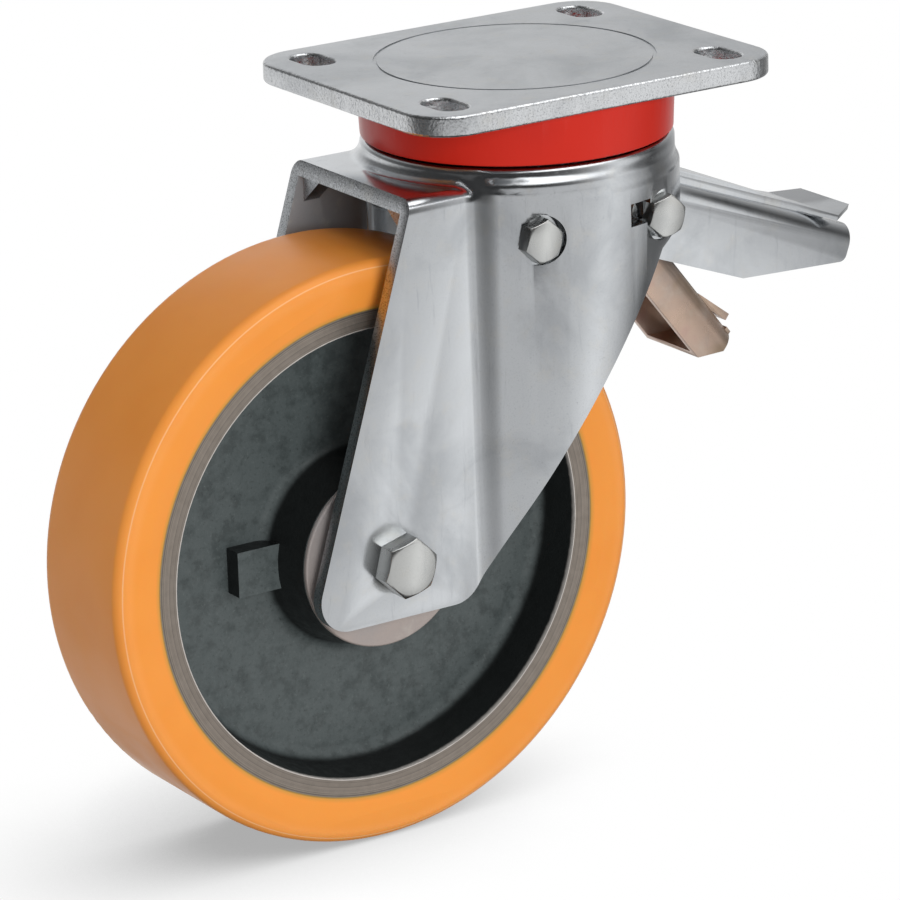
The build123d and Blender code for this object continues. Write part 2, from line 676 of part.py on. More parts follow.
with BuildPart() as brake_pedal:
    channel(pedal_plane, pedal_start, pedal_end, pedal_width, pedal_top, pedal_drop, pedal_shoulder_r, pedal_sheet)
    with BuildSketch(pedal_plane) as pedal_side:
        with BuildLine():
            Polyline((pedal_start, pedal_top), (pedal_end, pedal_top), (pedal_end, -pedal_tip_drop),
                     (pedal_belly, -pedal_drop), (pedal_start, -pedal_drop), close=True)
        make_face()
        tip = pedal_side.vertices().sort_by(Axis.X)[-2:].sort_by(Axis.Y)[0]
        fillet(tip, nose_r)
    extrude(amount=pedal_width, both=True, mode=Mode.INTERSECT)
    band_half = rib_width / 2
    strip_half = band_half - strip_inset
    band = (band_half, band_half, under_top, band_top)
    strip = (strip_half, strip_half, pedal_top, strip_top)
    strip_end = (strip_half, strip_half, pedal_top, band_top)
    hollow = (strip_half - pedal_sheet, strip_half - pedal_sheet, -pedal_tip_drop, strip_top - pedal_sheet)
    hollow_end = (*hollow[:3], band_top - pedal_sheet)
    tapered(pedal_plane, pedal_start, toe_bend, (band, band), Mode.ADD)
    tapered(pedal_plane, pedal_start, slit_from, (strip, strip), Mode.ADD)
    tapered(pedal_plane, slit_from, toe_start, (strip, strip_end), Mode.ADD)
    tapered(pedal_plane, pedal_start, slit_from, (hollow, hollow), Mode.SUBTRACT)
    tapered(pedal_plane, slit_from, toe_start, (hollow, hollow_end), Mode.SUBTRACT)
    with BuildSketch(pedal_plan):
        for side in (-1, 1):
            edge = side * (band_half - slit_lip)
            with BuildLine():
                Polyline((slit_from, edge), (slit_from, edge - side * slit_width), (slit_to, edge), close=True)
            make_face()
    extrude(amount=strip_top, mode=Mode.SUBTRACT)
    add(toe_plate.part)
    wall_outline(pedal_plane, pedal_width / 2 - pedal_sheet, pedal_sheet, pedal_ear_r,
                 [(0, pedal_ear_r), (pedal_start + pedal_sheet, pedal_top - pedal_shoulder_r),
                  (pedal_start + pedal_sheet, -pedal_drop), (nose.X, nose.Y - nose_r), (nose.X - nose_r, nose.Y),
                  (-pedal_ear_r, 0)])
    pivot_hole(pedal_plane, pedal_width)
write(brake_pedal, "brake_pedal")

# ---------------------------------------------------------------- release lever
with BuildPart() as release_lever:
    channel(lever_plane, lever_start, lever_end + lever_bulge, lever_width, lever_top, lever_drop, lever_shoulder_r,
            lever_sheet)
    cap = [(lever_end, lever_top), (lever_end + lever_bulge, -lever_sheet / 2),
           (lever_end - 2 * lever_sheet, -lever_drop)]
    with BuildSketch(lever_plane) as end_cap:
        with BuildLine():
            Polyline(*cap, *[(u - lever_sheet, v) for u, v in reversed(cap)], close=True)
        make_face()
    extrude(amount=lever_width / 2 - lever_sheet, both=True)
    with BuildSketch(lever_plane) as lever_side:
        with BuildLine():
            Polyline((lever_start, lever_top), *cap, (lever_start, -lever_drop), close=True)
        make_face()
    extrude(amount=lever_width, both=True, mode=Mode.INTERSECT)
    flap_plane = Plane(lever_plane.origin + lever_plane.x_dir * lever_toe_start + lever_plane.y_dir * lever_top,
                       x_dir=lever_plane.x_dir, z_dir=(0, -1, 0)).rotated((0, 0, 0))
    with BuildSketch(flap_plane):
        with Locations((lever_toe_length / 2, 0)):
            Rectangle(lever_toe_length, 3 * lever_sheet)
    extrude(amount=lever_toe_width / 2 + free_gap, both=True, mode=Mode.SUBTRACT)
    with BuildSketch(flap_plane):
        with Locations(Location((0, -lever_sheet, 0), (0, 0, lever_toe_angle))):
            Rectangle(lever_toe_length, lever_sheet, align=(Align.MIN, Align.MIN))
    extrude(amount=lever_toe_width / 2, both=True)
    wall_outline(lever_plane, lever_width / 2 - lever_sheet, lever_sheet, lever_ear_r,
                 [(0, lever_ear_r), (lever_start + lever_sheet, lever_top - lever_shoulder_r),
                  (lever_start + lever_sheet, -lever_drop), (0, -lever_ear_r)])
    pivot_hole(lever_plane, lever_width)
write(release_lever, "release_lever")

# ---------------------------------------------------------------- brake arm and shoe
tread_r = wheel_d / 2 + free_gap
web_inside = tread_r + shoe_t
web_outside = web_inside + arm_sheet
wheel_at = (axle_x + pivot_x, axle_z - pivot_z)      # wheel centre in the arm's plane, with the brake on


def about_wheel(radius, angle):
    """Point of the arm's plane at a radius and an angle about the wheel centre."""
    return (wheel_at[0] + radius * cos(radians(angle)), wheel_at[1] + radius * sin(radians(angle)))


shoe_middle = (shoe_from + shoe_to) / 2
shoe_margin = 3
radial = (arm_plane.x_dir * cos(radians(shoe_middle)) + arm_plane.y_dir * sin(radians(shoe_middle)))
rivet_planes = []
for side in (-1, 1):
    foot = arm_plane.from_local_coords(Vector(*about_wheel(tread_r + 2 * groove_r, shoe_middle)))
    rivet_planes.append(Plane(foot + Vector(0, side * rivet_spread / 2, 0), x_dir=(0, 1, 0), z_dir=radial))
rivet_length = web_outside - tread_r - 2 * groove_r

with BuildPart() as brake_arm:
    with BuildSketch(arm_plane):
        Circle(arm_ear_r)
        with BuildLine():
            Polyline((0, arm_ear_r), push_top, push_low, about_wheel(web_outside, shoe_from - shoe_margin),
                     about_wheel(web_inside - shoe_t, shoe_from - shoe_margin),
                     about_wheel(web_inside - shoe_t, shoe_to + shoe_margin), (0, -arm_ear_r), close=True)
        make_face()
        with Locations(wheel_at):
            Circle(web_inside, mode=Mode.SUBTRACT)
    extrude(amount=arm_half, both=True)
    with BuildSketch(arm_plane):
        Rectangle(4 * trail, 4 * trail)
        with Locations(wheel_at):
            Circle(web_outside, mode=Mode.SUBTRACT)
        Circle(arm_ear_r + arm_sheet)
    extrude(amount=arm_half - arm_sheet, both=True, mode=Mode.SUBTRACT)
    pivot_hole(arm_plane, arm_width)
    for plane in rivet_planes:
        rod(plane, rivet_d + 2 * running_gap, rivet_length + rivet_head_h, Mode.SUBTRACT)
write(brake_arm, "brake_arm")

with BuildPart() as brake_shoe:
    with BuildSketch(arm_plane):
        with BuildLine():
            CenterArc(wheel_at, web_inside, shoe_from, shoe_to - shoe_from)
            CenterArc(wheel_at, tread_r, shoe_from, shoe_to - shoe_from)
            Line(about_wheel(tread_r, shoe_from), about_wheel(web_inside, shoe_from))
            Line(about_wheel(tread_r, shoe_to), about_wheel(web_inside, shoe_to))
        make_face()
        for i in range(shoe_grooves):
            angle = shoe_from + (shoe_to - shoe_from) * (i + 1) / (shoe_grooves + 1)
            with Locations(about_wheel(tread_r, angle)):
                Circle(groove_r, mode=Mode.SUBTRACT)
    extrude(amount=shoe_width / 2, both=True)
    for plane in rivet_planes:
        rod(plane.offset(-3 * groove_r), rivet_d + 2 * running_gap, shoe_t + 3 * groove_r, Mode.SUBTRACT)
write(brake_shoe, "brake_shoe")

with BuildPart() as shoe_rivets:
    for plane in rivet_planes:
        rod(plane, rivet_d, rivet_length)
        rod(plane.offset(rivet_length), rivet_head_d, rivet_head_h)
write(shoe_rivets, "shoe_rivets")

# ---------------------------------------------------------------- return spring
coil_r = sleeve_d / 2 + free_gap + spring_wire / 2
coil_length = spring_turns * spring_pitch
with BuildPart() as return_spring:
    with BuildLine() as coil:
        Helix(spring_pitch, coil_length, coil_r, center=(-pivot_x, -coil_length / 2, pivot_z), direction=(0, 1, 0))
    ends = (Plane(coil.line @ 0, z_dir=coil.line % 0 * -1), Plane(coil.line @ 1, z_dir=coil.line % 1))
    with BuildSketch(ends[0]) as wire:
        Circle(spring_wire / 2)
    sweep(wire.sketch, path=coil.line)
    for end in ends:
        rod(end, spring_wire, spring_tail)
write(return_spring, "return_spring")
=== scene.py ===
# %% [markdown]
# # A swivel castor with a foot brake
#
# This file dresses the castor's solids for a catalogue page. The solids arrive already placed and measured, so
# nothing is moved here: each step either gives a solid its finish, or builds a finer piece that takes its place.
# A small kit loads the solids, and keeps track of which piece rides on which moving body.

import json
from math import cos, radians, sin

import bmesh
import bpy
from mathutils import Matrix, Vector


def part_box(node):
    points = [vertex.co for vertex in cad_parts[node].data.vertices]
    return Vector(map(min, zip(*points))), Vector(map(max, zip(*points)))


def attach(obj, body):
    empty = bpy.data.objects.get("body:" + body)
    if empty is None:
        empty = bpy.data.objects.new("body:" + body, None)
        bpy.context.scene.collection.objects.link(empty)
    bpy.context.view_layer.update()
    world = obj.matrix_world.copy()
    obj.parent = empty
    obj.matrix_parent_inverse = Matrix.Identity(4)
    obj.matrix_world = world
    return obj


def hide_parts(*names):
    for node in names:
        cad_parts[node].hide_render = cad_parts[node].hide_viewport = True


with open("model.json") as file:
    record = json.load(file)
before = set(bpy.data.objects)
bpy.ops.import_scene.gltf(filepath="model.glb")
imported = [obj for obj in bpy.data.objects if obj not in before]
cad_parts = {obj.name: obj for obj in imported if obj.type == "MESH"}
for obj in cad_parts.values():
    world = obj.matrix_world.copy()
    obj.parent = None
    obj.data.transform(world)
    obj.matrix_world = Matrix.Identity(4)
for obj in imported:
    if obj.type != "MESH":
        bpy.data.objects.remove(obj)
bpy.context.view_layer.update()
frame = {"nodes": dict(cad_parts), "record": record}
nodes = frame["nodes"]
scene = bpy.context.scene
mm = 0.001


# %% [markdown]
# ## Where things are
#
# Every later step asks the solids for its places, in place of typing them again, so a change of the wheel or the
# plate needs no change here. The axle is the middle of the tyre, and the floor is as low as the tyre reaches. The
# wheel centre's rim carries a narrow bare band, just inside the tyre.

# %% Places read from the solids
def middle(node):
    low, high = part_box(node)
    return (Vector(low) + Vector(high)) / 2


def size(node):
    low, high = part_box(node)
    return Vector(high) - Vector(low)


def bottom(node):
    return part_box(node)[0][2]


axle = Vector((middle("tyre").x, 0, middle("tyre").z))
floor_z = bottom("tyre")
tyre_r = size("tyre").z / mm / 2
rim_r = size("wheel_centre").z / mm / 2
band_width = 6.2
band_r = rim_r - band_width
print("axle", [round(v / mm, 1) for v in axle], "floor", round(floor_z / mm, 1), "mm")
print("tyre, rim and turned band:", round(tyre_r, 1), round(rim_r, 1), round(band_r, 1), "mm from the axle")

# %% [markdown]
# ## Camera
#
# A long lens from a little above shows the plate's top and the wheel's side together, as catalogues do. The view
# is written as an aim point, two angles, a small roll and a distance. The aim point isn't in the middle of the
# picture, so the camera stands aside by that much: lens shift would do it too, but would spoil the views from
# other sides.

# %% Camera
view_azimuth, view_elevation, view_roll = -32.816, 18.057, -1.797
view_distance = 1.645256
focal_px, picture_px, sensor_mm = 4877.237, 900, 36.0
aim = Vector((0, 0, -0.1))
aim_px = (522.232, 344.941)

a, e, r = radians(view_azimuth), radians(view_elevation), radians(view_roll)
back = Vector((sin(a) * cos(e), -cos(a) * cos(e), sin(e)))
level_right = Vector((0, 0, 1)).cross(back).normalized()
level_up = back.cross(level_right)
right = level_right * cos(r) + level_up * sin(r)
up = level_up * cos(r) - level_right * sin(r)
px_to_m = view_distance / focal_px

camera = bpy.data.objects.new("camera", bpy.data.cameras.new("camera"))
scene.collection.objects.link(camera)
camera.data.sensor_width = sensor_mm
camera.data.lens = focal_px * sensor_mm / picture_px
camera.data.clip_start, camera.data.clip_end = 0.1, 50
camera.matrix_world = Matrix.Translation(
    aim + back * view_distance
    - right * (aim_px[0] - picture_px / 2) * px_to_m
    + up * (aim_px[1] - picture_px / 2) * px_to_m
) @ Matrix((right, up, back)).transposed().to_4x4()
scene.camera = camera
scene.view_settings.view_transform = "Standard"
print("camera at", [round(v, 3) for v in camera.matrix_world.translation])


# %% [markdown]
# ## A helper for node trees
#
# The room, the tent, every finish and every screw thread below is a small tree of nodes. Blender's own calls need
# three lines for each node, so two short functions do it in one: they add a node, set its options, and feed each
# input with a number or with what another node gives out.

# %% Nodes in one line
def add_node(tree, kind, feeds=None, **options):
    """A new node, whose inputs are fed by name or by place."""
    node = tree.nodes.new(kind)
    for key, value in options.items():
        setattr(node, key, value)
    for key, value in (feeds or {}).items():
        if isinstance(value, bpy.types.NodeSocket):
            tree.links.new(value, node.inputs[key])
        else:
            node.inputs[key].default_value = value
    return node


def step(tree, kind, feeds=None, **options):
    """The first output of a new node, for steps that follow one another."""
    return add_node(tree, kind, feeds, **options).outputs[0]


def stretched(tree, value, low, high, to_low=0.0, to_high=1.0, curve="SMOOTHSTEP"):
    """A value stretched from low..high to another range, and held at both ends."""
    return step(tree, "ShaderNodeMapRange", {
        "Value": value, "From Min": low, "From Max": high, "To Min": to_low, "To Max": to_high},
        interpolation_type=curve)


def mixed(tree, amount, first, second):
    """A colour between two colours, by an amount from 0 to 1."""
    return add_node(tree, "ShaderNodeMix", {0: amount, 6: first, 7: second}, data_type="RGBA").outputs[2]


def bare_material(name):
    """A material whose tree is still empty."""
    material = bpy.data.materials.new(name)
    material.use_nodes = True
    material.node_tree.nodes.clear()
    return material


print("helpers:", add_node.__name__, step.__name__, stretched.__name__, mixed.__name__, bare_material.__name__)


# %% [markdown]
# ## Lamps
#
# A large soft lamp stands in front and a little to the left, so the side of the wheel is twice as bright as its
# tread. Three weaker ones lift the plate's top, the far side and the left. Soft lamps are flat rectangles: the
# larger they are, the softer the shadow's edge. None of them shows in the metal, because the painted tent below
# takes care of what the metal mirrors, and the two can then be set one by one.

# %% Lamps
def aimed(place, target):
    """The matrix of a flat thing at a place, its -Z side towards a target."""
    direction = Vector(target) - Vector(place)
    return Matrix.Translation(place) @ direction.to_track_quat("-Z", "Y").to_matrix().to_4x4()


def soft_lamp(name, place, width, watts):
    lamp = bpy.data.lights.new(name, "AREA")
    lamp.shape = "SQUARE"
    lamp.size = width
    lamp.energy = watts
    obj = bpy.data.objects.new(name, lamp)
    obj.matrix_world = aimed(place, aim)
    obj.visible_glossy = False
    scene.collection.objects.link(obj)
    print(name, watts, "W,", width, "m wide")


soft_lamp("lamp_front", (-0.25, -1.55, 0.22), 0.9, 17)
soft_lamp("lamp_above", (0.0, -0.1, 1.4), 1.0, 4)
soft_lamp("lamp_back", (0.5, 1.5, 0.4), 0.8, 5)
soft_lamp("lamp_left", (-1.3, 0.1, 0.6), 0.5, 1.2)

# %% [markdown]
# ## Room
#
# The room's light comes from all sides and fills the shadows. Its strength for the object is low, yet the
# background has to be plain white. The Light Path node tells the two apart: what the camera sees straight, or in
# a mirror or through glass, is white, and everything else gets the weaker light, a touch cool as daylight is.

# %% Room
room_colour, room_strength = (0.95, 0.97, 1, 1), 0.31
world = bpy.data.worlds.new("studio")
scene.world = world
world.use_nodes = True
tree = world.node_tree
tree.nodes.clear()
ray = add_node(tree, "ShaderNodeLightPath").outputs
seen_or_mirrored = step(tree, "ShaderNodeMath", {0: ray["Is Camera Ray"], 1: ray["Is Glossy Ray"]}, operation="ADD")
shown_white = step(tree, "ShaderNodeMath", {0: seen_or_mirrored, 1: ray["Is Transmission Ray"]},
                   operation="ADD", use_clamp=True)
room_light = step(tree, "ShaderNodeBackground", {"Color": room_colour, "Strength": room_strength})
white = step(tree, "ShaderNodeBackground", {"Color": (1, 1, 1, 1)})
either = step(tree, "ShaderNodeMixShader", {0: shown_white, 1: room_light, 2: white})
add_node(tree, "ShaderNodeOutputWorld", {"Surface": either})
print("room light at", room_strength, "of white")


# %% [markdown]
# ## The painted tent
#
# Zinc plating is a mirror that is out of focus, so it looks like whatever stands round it. A tent of plain white
# cloth would make it look like grey card. Makers of catalogues hang strips of white and black card in the tent
# instead, and so does this one: bands of light and dark stand at fixed bearings round the castor, and only
# reflections see them. There are three rings of bands, one above the other: upright walls mirror the low ring,
# tops and slopes the middle one, and the rolled edge of the fork's crown the top one.
#
# A bearing of 0 looks along -Y, and it grows towards +X. Each pair below is a bearing and a brightness. They were
# found by trial, moving one band at a time, and say nothing about the lamps of any real studio.

# %% Bands of light
tent_radius = 0.9
brightest = 2.6
low_bands = ((-180, 0.70), (-163, 0.85), (-145, 0.95), (-120, 0.28), (-100, 0.12), (-72, 0.12), (-50, 0.45),
             (-36, 0.64), (-5, 0.68), (18, 0.80), (34, 1.10), (50, 0.82), (62, 0.48), (77, 0.12), (95, 0.20),
             (120, 0.55), (147, 0.80), (165, 1.0))
middle_bands = ((-180, 0.70), (-163, 0.22), (-140, 0.15), (-115, 0.06), (-60, 0.04), (-20, 0.05), (5, 0.15),
                (25, 0.55), (42, 1.1), (55, 0.8), (66, 0.20), (80, 0.06), (105, 0.35), (125, 0.60), (147, 0.80),
                (165, 1.0))
top_bands = ((-180, 0.30), (-110, 0.05), (-65, 0.10), (-45, 0.8), (-20, 2.2), (10, 2.6), (55, 2.5), (72, 1.3),
             (90, 1.0), (120, 0.80), (150, 0.80))


def bands_ramp(tree, bearing, bands):
    """Brightness by bearing, as stops round a full circle."""
    ramp = add_node(tree, "ShaderNodeValToRGB", {0: bearing})
    stops = sorted((((angle + 90) / 360) % 1, value / brightest) for angle, value in bands)
    first, last = stops[0], stops[-1]
    gap = first[0] + 1 - last[0]
    seam = first[1] + (last[1] - first[1]) * first[0] / gap
    stops = [(0, seam)] + stops + [(1, seam)]
    elements = ramp.color_ramp.elements
    while len(elements) < len(stops):
        elements.new(0.5)
    for element, (place, value) in zip(elements, stops):
        element.position = place
    for element, (place, value) in zip(elements, stops):
        element.color = (value, value, value, 1)
    return ramp.outputs["Color"]


print("tent of", len(low_bands), "low,", len(middle_bands), "middle and", len(top_bands), "top bands")

# %% [markdown] The tent itself is a plain ball round the castor. It casts no shadow and gives no light to dull
# surfaces: of all the rays, only those that bounce off a glossy surface may see it.

# %% Tent
bm = bmesh.new()
bmesh.ops.create_uvsphere(bm, u_segments=64, v_segments=32, radius=tent_radius)
tent_mesh = bpy.data.meshes.new("tent")
bm.to_mesh(tent_mesh)
bm.free()
tent = bpy.data.objects.new("tent", tent_mesh)
tent.location = aim
scene.collection.objects.link(tent)
tent.visible_camera = tent.visible_diffuse = tent.visible_shadow = False
tent.visible_transmission = tent.visible_volume_scatter = False
print("tent of", tent_radius, "m radius")

# %% [markdown]
# The cloth glows by its bands. A radial gradient gives the bearing, and the height in the tent chooses the ring,
# with soft steps between them. The lowest part is nearly black: it stands for the shade under the castor, and its
# height was set on the foot of the near leg.

# %% Cloth of the tent
low_to_middle = (0.04, 0.24)
middle_to_top = (0.62, 0.82)
ground_to_low = (-0.90, -0.62)
ground_shade = 0.06


def heights(pair):
    """Two heights in the tent, given as shares of its radius."""
    return [share * tent_radius for share in pair]


cloth = bare_material("tent_cloth")
tree = cloth.node_tree
place = add_node(tree, "ShaderNodeTexCoord").outputs["Object"]
bearing = add_node(tree, "ShaderNodeTexGradient", {"Vector": place}, gradient_type="RADIAL").outputs["Fac"]
height = add_node(tree, "ShaderNodeSeparateXYZ", {0: place}).outputs["Z"]
lower = mixed(tree, stretched(tree, height, *heights(low_to_middle)),
              bands_ramp(tree, bearing, low_bands), bands_ramp(tree, bearing, middle_bands))
painted = mixed(tree, stretched(tree, height, *heights(middle_to_top)), lower, bands_ramp(tree, bearing, top_bands))
above_ground = stretched(tree, height, *heights(ground_to_low), to_low=ground_shade)
strength = step(tree, "ShaderNodeMath", {0: above_ground, 1: brightest}, operation="MULTIPLY")
glow = step(tree, "ShaderNodeEmission", {"Color": painted, "Strength": strength})
add_node(tree, "ShaderNodeOutputMaterial", {"Surface": glow})
tent_mesh.materials.append(cloth)
print("tent_cloth has", len(tree.nodes), "nodes")

# %% [markdown]
# ## Floor
#
# The floor is one large sheet of white paper, a hair under the tyre so that the two never touch. It is left out
# of reflections, where the tent stands for it.

# %% Floor
floor_reach = 4.0
floor_gap = 0.05 * mm
corners = [(x * floor_reach, y * floor_reach, floor_z - floor_gap) for x, y in ((-1, -1), (1, -1), (1, 1), (-1, 1))]
floor_mesh = bpy.data.meshes.new("floor")
floor_mesh.from_pydata(corners, [], [(0, 1, 2, 3)])
floor = bpy.data.objects.new("floor", floor_mesh)
scene.collection.objects.link(floor)
floor.visible_glossy = False
print("floor at", round(floor_z / mm, 1), "mm")

# %% [markdown]
# The paper glows as bright as the background, so no horizon shows. A glowing sheet can't catch a shadow from a
# lamp, so the Ambient Occlusion node makes one: it asks how much open sky each spot has over it, which gives the
# soft neutral shade of a light tent. The sky it asks about leans towards the lamps, so the shade falls away from
# them. To dull surfaces the paper is dimmer than it looks, or it would light the tyre from below, and from
# underneath it is clear, so that the castor can be seen from there too.

# %% Paper
shade_distance = 0.10
towards_lamps = {0: 0.45, 1: -0.3, 2: 0.84}
darkest_shade = 0.42
seen_by_dull = 0.35

paper = bare_material("paper")
tree = paper.node_tree
lean = step(tree, "ShaderNodeCombineXYZ", towards_lamps)
open_sky = add_node(tree, "ShaderNodeAmbientOcclusion", {"Distance": shade_distance, "Normal": lean},
                    samples=16).outputs["AO"]
shade = stretched(tree, open_sky, 0.25, 0.88, darkest_shade, 1.0, curve="LINEAR")
ray = add_node(tree, "ShaderNodeLightPath").outputs
dimmer = stretched(tree, ray["Is Diffuse Ray"], 0.0, 1.0, 1.0, seen_by_dull, curve="LINEAR")
strength = step(tree, "ShaderNodeMath", {0: dimmer, 1: shade}, operation="MULTIPLY")
glow = step(tree, "ShaderNodeEmission", {"Strength": strength})
under = add_node(tree, "ShaderNodeNewGeometry").outputs["Backfacing"]
clear = step(tree, "ShaderNodeBsdfTransparent")
one_sided = step(tree, "ShaderNodeMixShader", {0: under, 1: glow, 2: clear})
add_node(tree, "ShaderNodeOutputMaterial", {"Surface": one_sided})
floor_mesh.materials.append(paper)
print("paper has", len(tree.nodes), "nodes")


# %% [markdown]
# ## Finishes
#
# A finish is a small recipe: a base colour, a roughness, and two or three noises that break both up at the scale
# of the real surface. Pictures of surfaces could do this too, but they need a flat layout of each piece, while a
# noise lives in space and fits any shape.
#
# The first helper makes values over a surface: clouds, grains, rings round the axle. It measures in millimetres,
# so that the size of a noise reads as the size of the real blobs.

# %% Patterns over a surface
finishes = {}


class Pattern:
    """A node material under way, and the values that its recipe can be made of, all in millimetres."""

    def __init__(self, name, colour, metallic, roughness):
        self.material = bpy.data.materials.new(name)
        self.material.use_nodes = True
        self.tree = self.material.node_tree
        self.shader = self.tree.nodes["Principled BSDF"]
        self.set("Base Color", (*colour, 1))
        self.set("Metallic", metallic)
        self.set("Roughness", roughness)
        self.colour = None
        self.relief = None
        place = self.node("ShaderNodeTexCoord").outputs["Object"]
        self.position = self.node("ShaderNodeVectorMath", {0: place, "Scale": 1 / mm}, operation="SCALE").outputs[0]
        finishes[name] = self.material

    def set(self, socket, value):
        """A number or colour on the shader's own socket."""
        self.shader.inputs[socket].default_value = value

    def node(self, kind, feeds=None, **options):
        return add_node(self.tree, kind, feeds, **options)

    def link(self, source, socket):
        self.tree.links.new(source, self.shader.inputs[socket])

    def mapped(self, stretch=(1, 1, 1), centre=(0, 0, 0)):
        """Position measured from a centre, and squeezed along each axis by the stretch."""
        return self.node("ShaderNodeMapping", {"Vector": self.position, "Location": centre, "Scale": stretch},
                         vector_type="TEXTURE").outputs[0]

    def noise(self, size, detail=2.0, softness=0.5, where=None, distortion=0.0):
        """Cloudy value about 0.5, with blobs of the given size."""
        return self.node("ShaderNodeTexNoise", {
            "Scale": 1 / size, "Detail": detail, "Roughness": softness, "Distortion": distortion,
            "Vector": where or self.position}).outputs["Fac"]

    def crystals(self, size):
        """Small cells, each a cone, as the plating grows them."""
        return self.node("ShaderNodeTexVoronoi", {"Scale": 1 / size, "Vector": self.position}).outputs["Distance"]

    def combine(self, first, second, operation="MULTIPLY"):
        return self.node("ShaderNodeMath", {0: first, 1: second}, operation=operation).outputs[0]

    def span(self, value, low, high, to_low=0.0, to_high=1.0):
        return stretched(self.tree, value, low, high, to_low, to_high)

    def along(self, axis):
        """Position along X, Y or Z."""
        return self.node("ShaderNodeSeparateXYZ", {0: self.position}).outputs[axis]

    def from_axis(self, centre):
        """Distance from an axis along Y."""
        flat = self.node("ShaderNodeVectorMath", {0: self.mapped(centre=centre), 1: (1, 0, 1)},
                         operation="MULTIPLY").outputs[0]
        return self.node("ShaderNodeVectorMath", {0: flat}, operation="LENGTH").outputs["Value"]

    def sideways(self):
        """1 on faces square to Y, 0 on faces along it."""
        normal = self.node("ShaderNodeTexCoord").outputs["Normal"]
        return self.combine(self.node("ShaderNodeSeparateXYZ", {0: normal}).outputs["Y"], 0, "ABSOLUTE")

    def ring(self, radius, inner, outer, soft=0.15):
        """1 between two radii, 0 elsewhere."""
        inside = self.span(radius, inner - soft, inner + soft)
        return self.combine(inside, self.span(radius, outer - soft, outer + soft, 1, 0))


print("patterns:", [name for name in vars(Pattern) if not name.startswith("_")])


# %% [markdown]
# The second helper says what those values do to the surface: tint it, roughen it, or raise it. Bumps are added
# one on another, from the broadest to the finest, as the real surface got them.

# %% What patterns do
class Finish(Pattern):
    """A pattern's values put to use on the shader."""

    def tint(self, colour, amount):
        """A colour over what is there, by an amount from 0 to 1 that may come from a noise."""
        under = self.colour or self.shader.inputs["Base Color"].default_value
        self.colour = mixed(self.tree, amount, under, (*colour, 1))
        self.link(self.colour, "Base Color")

    def roughen(self, value, low, high):
        """Roughness follows a value that runs from 0 to 1."""
        self.link(self.span(value, 0.25, 0.75, low, high), "Roughness")

    def bump(self, value, depth):
        """Relief of about the given depth."""
        bump = self.node("ShaderNodeBump", {"Distance": depth * mm, "Height": value})
        if self.relief:
            self.tree.links.new(self.relief, bump.inputs["Normal"])
        self.relief = bump.outputs[0]
        self.link(self.relief, "Normal")

    def tell(self):
        print(self.material.name, "has", len(self.tree.nodes), "nodes")


def srgb(red, green, blue):
    """A colour as picked in a paint program, 0 to 255, as the linear values that a shader takes."""
    return tuple(((c / 255 + 0.055) / 1.055) ** 2.4 if c > 10 else c / 255 / 12.92 for c in (red, green, blue))


print("finish helpers:", [name for name in vars(Finish) if not name.startswith("_")])


# %% [markdown]
# ### Zinc
#
# Bright zinc plating is thin and follows the steel under it. It has cloudy patches a few centimetres wide, smaller
# stains, a fine grain, faint upright streaks, and a very slight blue or straw tint. All the castor's plated parts
# share this recipe, and each has its own grain and polish. The numbers in this and the next finishes are set one by
# one.

# %% Zinc plating
def zinc(name, grain_size, grain_depth, colour=(204, 207, 210), rough=(0.13, 0.27), crystal_depth=0.0):
    plating = Finish(name, srgb(*colour), 1.0, 0.3)
    clouds = plating.noise(38, detail=4, softness=0.6, distortion=0.6)
    stains = plating.noise(9, detail=5, softness=0.65)
    grain = plating.noise(grain_size, detail=3, softness=0.6)
    streaks = plating.noise(1, detail=4, softness=0.7, where=plating.mapped(stretch=(4, 4, 34)), distortion=0.4)
    plating.tint(srgb(150, 155, 160), plating.span(clouds, 0.42, 0.72, 0, 0.35))
    plating.tint(srgb(214, 210, 200), plating.span(stains, 0.5, 0.8, 0, 0.35))
    plating.tint(srgb(120, 124, 130), plating.span(grain, 0.55, 0.8, 0, 0.30))
    plating.tint(srgb(140, 144, 150), plating.span(streaks, 0.55, 0.80, 0, 0.30))
    polish = plating.combine(plating.combine(clouds, 0.6), plating.combine(stains, 0.4), "ADD")
    plating.roughen(polish, *rough)
    plating.bump(clouds, 0.07)
    plating.bump(stains, 0.03)
    plating.bump(grain, grain_depth)
    if crystal_depth:
        plating.bump(plating.crystals(grain_size * 2.2), crystal_depth)
    plating.tell()
    return plating


zinc("zinc_sheet", 0.5, 0.010)

# %% [markdown]
# The fork is the same pressed sheet, with one thing more, and it is a makeshift. The solid's crown stands upright
# under its rolled edge, and mirrors the low ring of bands there, where a real crown looks darker. Two ramps of
# height, in a bump, lean the reflections up and then down again round the crown. They change no mesh and no
# outline. Relief this deep belongs in the mesh, so the place to mend it is the solid: the real slope isn't known,
# the depths were set by trial, and they make the left of the crown better but its brightest part too bright. The
# folds of the legs, ahead of the crown, are left alone.

# %% The fork's plating
roll_top, roll_middle, roll_foot = -26.8, -31.4, -36.5
roll_depth, foot_depth = 1.9, 1.4
legs_end, crown_start = -43, -35

fork_plating = zinc("zinc_fork", 0.5, 0.010)
height = fork_plating.along("Z")
on_crown = fork_plating.span(fork_plating.along("X"), legs_end, crown_start)
roll = fork_plating.span(height, roll_middle, roll_top, 1, 0)
foot = fork_plating.span(height, roll_foot, roll_middle)
fork_plating.bump(fork_plating.combine(roll, on_crown), roll_depth)
fork_plating.bump(fork_plating.combine(foot, on_crown), foot_depth)
fork_plating.tell()
